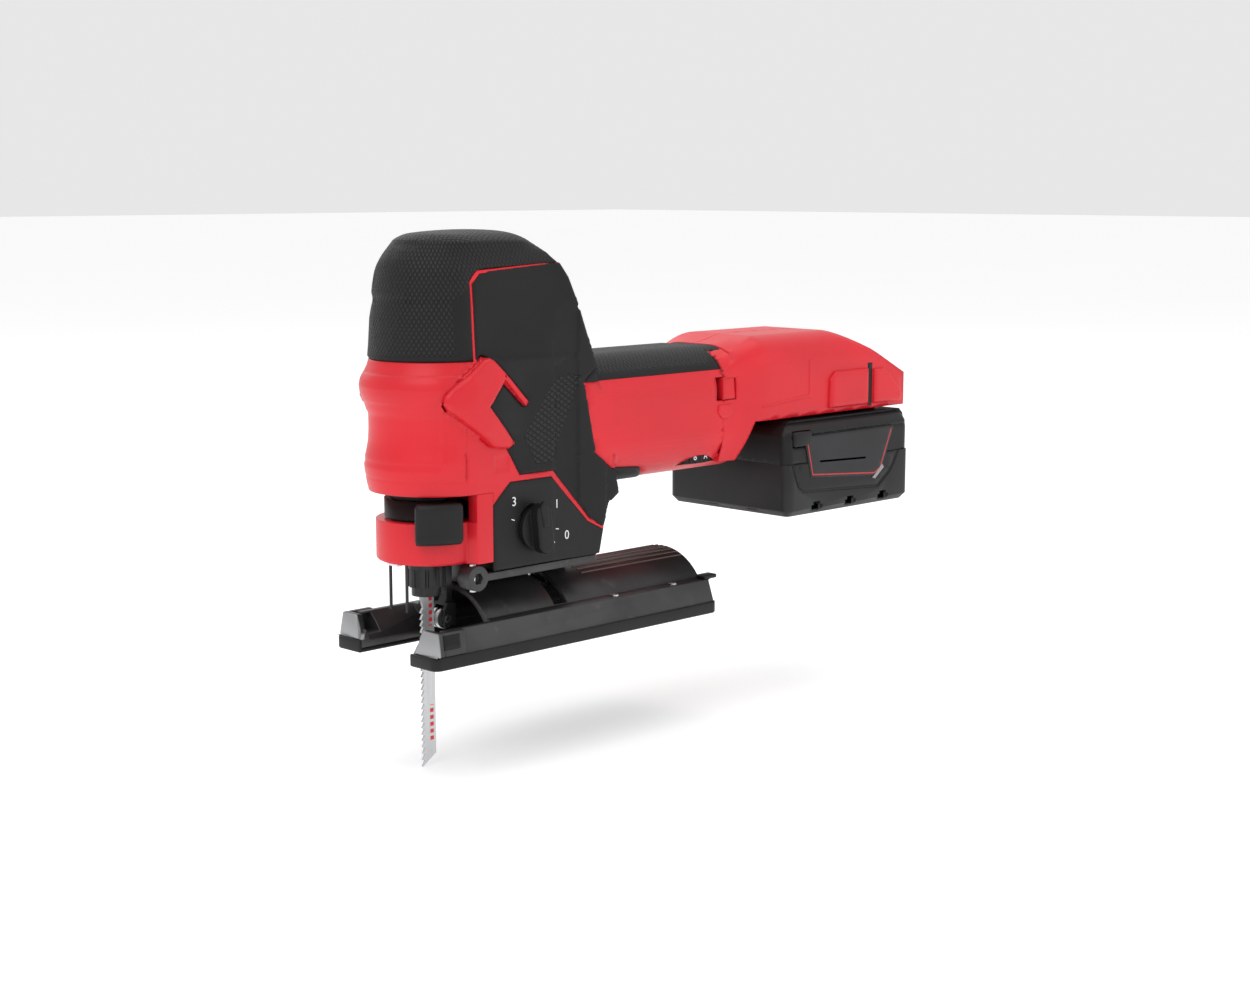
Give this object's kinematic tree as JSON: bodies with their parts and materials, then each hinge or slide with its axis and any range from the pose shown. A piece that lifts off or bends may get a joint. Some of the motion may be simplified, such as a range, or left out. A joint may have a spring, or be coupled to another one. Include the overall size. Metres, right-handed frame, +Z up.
{
  "type": "jigsaw power tool",
  "caption": "Cordless barrel-grip jigsaw with a tilting shoe, orbital roller, quick blade clamp and a slide-on battery pack.",
  "frame": {"origin": "Where the centre line of the blade meets the underside of the sole, on the axis the shoe tilts about.", "axes": "-X is the cutting direction, +X runs back along the barrel to the battery pack, -Y is the left side with the orbit knob, +Z is up."},
  "size_m": [0.3172, 0.0804, 0.23],
  "materials": {
    "red_plastic": "satin red moulded plastic",
    "black_plastic": "matte black moulded plastic",
    "grip_rubber": "textured black overmould",
    "pack_plastic": "dark grey moulded plastic",
    "shoe_metal": "satin dark grey coated casting",
    "steel": "machined steel",
    "black_steel": "blackened steel",
    "blade_steel": "light coated blade steel",
    "aluminium": "die-cast aluminium",
    "bronze": "sintered bronze",
    "copper": "enamelled copper winding",
    "lens": "clear lens",
    "cell_wrap": "shrink-wrapped cell",
    "board": "potted circuit board",
    "label": "printed label plate"
  },
  "bodies": {
    "saw_body": {"head_grip": "grip_rubber", "barrel_grip": "grip_rubber", "side_grip_left": "grip_rubber", "side_grip_right": "grip_rubber", "side_lugs": "red_plastic", "base_case": "black_plastic", "nose_cover": "red_plastic", "housing_left": "red_plastic", "housing_right": "red_plastic", "gear_case": "aluminium", "guide_bushes": "bronze", "ball_bearings": "steel", "motor_end_plate": "aluminium", "stator": "steel", "stator_coils": "copper", "collar": "red_plastic", "neck_tube": "black_plastic", "wire_guard": "black_steel", "led_lens": "lens", "fork_pin": "steel", "saddle": "shoe_metal", "bevel_bolt": "steel", "clamp_plate": "steel", "bevel_lever_pin": "steel", "wheel_pin": "steel", "switch_body": "black_plastic", "controller_board": "board", "terminal_block": "black_plastic", "terminal_blades": "bronze", "housing_screws": "black_steel"},
    "rotor": {"rotor_shaft": "steel", "rotor_core": "steel", "motor_fan": "black_plastic", "pinion": "steel"},
    "crank": {"crank_gear": "steel", "crank_pin": "steel", "balance_weight": "steel"},
    "plunger_set": {"plunger": "steel", "saw_blade": "blade_steel", "blade_clamp": "black_steel", "clamp_sleeve": "black_steel"},
    "fork": {"orbit_fork": "black_steel", "roller_pin": "steel"},
    "roller": {"guide_roller": "steel"},
    "knob": {"orbit_knob": "black_plastic"},
    "release": {"release_lever": "black_plastic"},
    "lock_lever": {"bevel_lever": "shoe_metal"},
    "shoe_set": {"shoe": "shoe_metal", "sole_cover": "black_plastic", "shoe_screws": "steel"},
    "slider": {"power_slider": "red_plastic"},
    "wheel": {"speed_wheel": "black_plastic"},
    "pack": {"pack_tray": "pack_plastic", "pack_top": "black_plastic", "cells": "cell_wrap", "pack_labels": "label"},
    "latch_left": {"pack_latch_left": "black_plastic"},
    "latch_right": {"pack_latch_right": "black_plastic"}
  },
  "joints": [
    {"name": "crank_spin", "type": "hinge", "parent": "saw_body", "child": "crank", "pos_m": [0.02, 0, 0.1174], "axis": [1, 0, 0], "range_deg": [0, 180.05]},
    {"name": "rotor_spin", "type": "hinge", "parent": "saw_body", "child": "rotor", "pos_m": [0.06, 0, 0.095], "axis": [1, 0, 0], "range_deg": [-1080.3, 0]},
    {"name": "plunger_stroke", "type": "slide", "parent": "saw_body", "child": "plunger_set", "axis": [0, 0, 1], "range_m": [0, 0.025]},
    {"name": "orbit_swing", "type": "hinge", "parent": "saw_body", "child": "fork", "pos_m": [0.011, 0, 0.046], "axis": [0, -1, 0], "range_deg": [0, 4]},
    {"name": "roller_spin", "type": "hinge", "parent": "fork", "child": "roller", "pos_m": [0.0084, 0, 0.0136], "axis": [0, 1, 0], "continuous": true},
    {"name": "orbit_knob_turn", "type": "hinge", "parent": "saw_body", "child": "knob", "pos_m": [0.0375, -0.029, 0.0534], "axis": [0, -1, 0], "range_deg": [-100, 50]},
    {"name": "blade_release", "type": "hinge", "parent": "saw_body", "child": "release", "pos_m": [0, 0, 0.064], "axis": [0, 0, -1], "range_deg": [0, 45], "stiffness_Nm_per_rad": 0.25, "springref_deg": -11.46},
    {"name": "bevel_lock", "type": "hinge", "parent": "saw_body", "child": "lock_lever", "pos_m": [0.005, -0.025, 0.035], "axis": [0, 0, -1], "range_deg": [0, 60]},
    {"name": "shoe_bevel", "type": "hinge", "parent": "saw_body", "child": "shoe_set", "pos_m": [0, 0, 0], "axis": [1, 0, 0], "range_deg": [-45, 45]},
    {"name": "power_switch", "type": "slide", "parent": "saw_body", "child": "slider", "axis": [-1, 0, 0], "range_m": [0, 0.0036]},
    {"name": "speed_dial", "type": "hinge", "parent": "saw_body", "child": "wheel", "pos_m": [0.146, 0, 0.0735], "axis": [0, 0, 1], "range_deg": [-225, 45]},
    {"name": "pack_slide", "type": "slide", "parent": "saw_body", "child": "pack", "axis": [1, 0, 0], "range_m": [0, 0.1]},
    {"name": "latch_left_press", "type": "slide", "parent": "pack", "child": "latch_left", "axis": [0, 1, 0], "range_m": [0, 0.003], "stiffness_N_per_m": 600, "springref_m": -0.002},
    {"name": "latch_right_press", "type": "slide", "parent": "pack", "child": "latch_right", "axis": [0, -1, 0], "range_m": [0, 0.003], "stiffness_N_per_m": 600, "springref_m": -0.002}
  ],
  "couplings": [
    {"joint": "crank_spin", "follows": "plunger_stroke", "rad_per_m": 125.66},
    {"joint": "rotor_spin", "follows": "plunger_stroke", "rad_per_m": -753.98}
  ]
}
